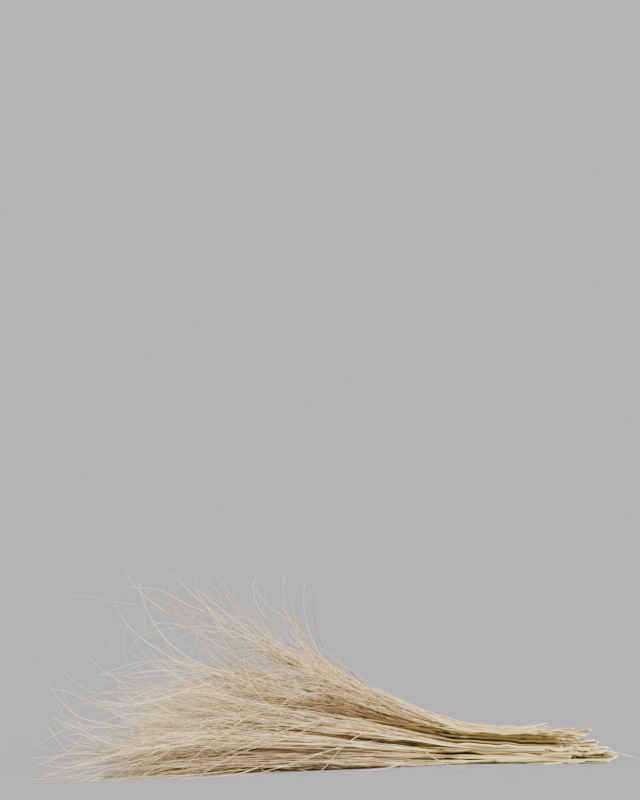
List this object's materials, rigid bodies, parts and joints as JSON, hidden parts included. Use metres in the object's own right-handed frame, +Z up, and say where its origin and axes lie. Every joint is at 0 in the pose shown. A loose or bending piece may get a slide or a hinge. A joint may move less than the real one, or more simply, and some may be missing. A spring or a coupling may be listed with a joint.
{
  "type": "bundle of feather grass",
  "caption": "Loose bunch of cut and dried feather grass lying on its side, with straw-coloured stalks that open into soft, pale plumes of long awns.",
  "frame": {"origin": "the middle of the bundle's footprint, on the surface it lies on", "axes": "+X along the stalks towards their cut ends, with the plumes at -X; +Y from the front side to the back; +Z up from the surface"},
  "size_m": [0.5776, 0.2588, 0.182],
  "materials": {
    "stalk": "dry, ribbed grass stalk with a faint waxy sheen, yellow-green straw, darker at the joints",
    "plume": "matt, silky hair-fine awns, beige to cream, whiter towards the tips",
    "leaf": "dry, papery blade with fine veins along it, pale straw"
  },
  "bodies": {
    "root": {"stalk_01": "stalk", "stalk_02": "stalk", "stalk_03": "stalk", "stalk_04": "stalk", "stalk_05": "stalk", "stalk_06": "stalk", "stalk_07": "stalk", "stalk_08": "stalk", "stalk_09": "stalk", "stalk_10": "stalk", "stalk_11": "stalk", "stalk_12": "stalk", "stalk_13": "stalk", "stalk_14": "stalk", "stalk_15": "stalk", "stalk_16": "stalk", "stalk_17": "stalk", "stalk_18": "stalk", "stalk_19": "stalk", "stalk_20": "stalk", "stalk_21": "stalk", "stalk_22": "stalk", "stalk_23": "stalk", "stalk_24": "stalk", "stalk_25": "stalk", "stalk_26": "stalk", "stalk_27": "stalk", "stalk_28": "stalk", "plume_01": "plume", "plume_02": "plume", "plume_03": "plume", "plume_04": "plume", "plume_05": "plume", "plume_06": "plume", "plume_07": "plume", "plume_08": "plume", "plume_09": "plume", "plume_10": "plume", "plume_11": "plume", "plume_12": "plume", "plume_13": "plume", "plume_14": "plume", "plume_15": "plume", "plume_16": "plume", "plume_17": "plume", "plume_18": "plume", "plume_19": "plume", "plume_20": "plume", "plume_21": "plume", "plume_22": "plume", "plume_23": "plume", "plume_24": "plume", "plume_25": "plume", "plume_26": "plume", "plume_27": "plume", "plume_28": "plume", "leaf_01": "leaf", "leaf_02": "leaf", "leaf_03": "leaf"}
  },
  "joints": []
}
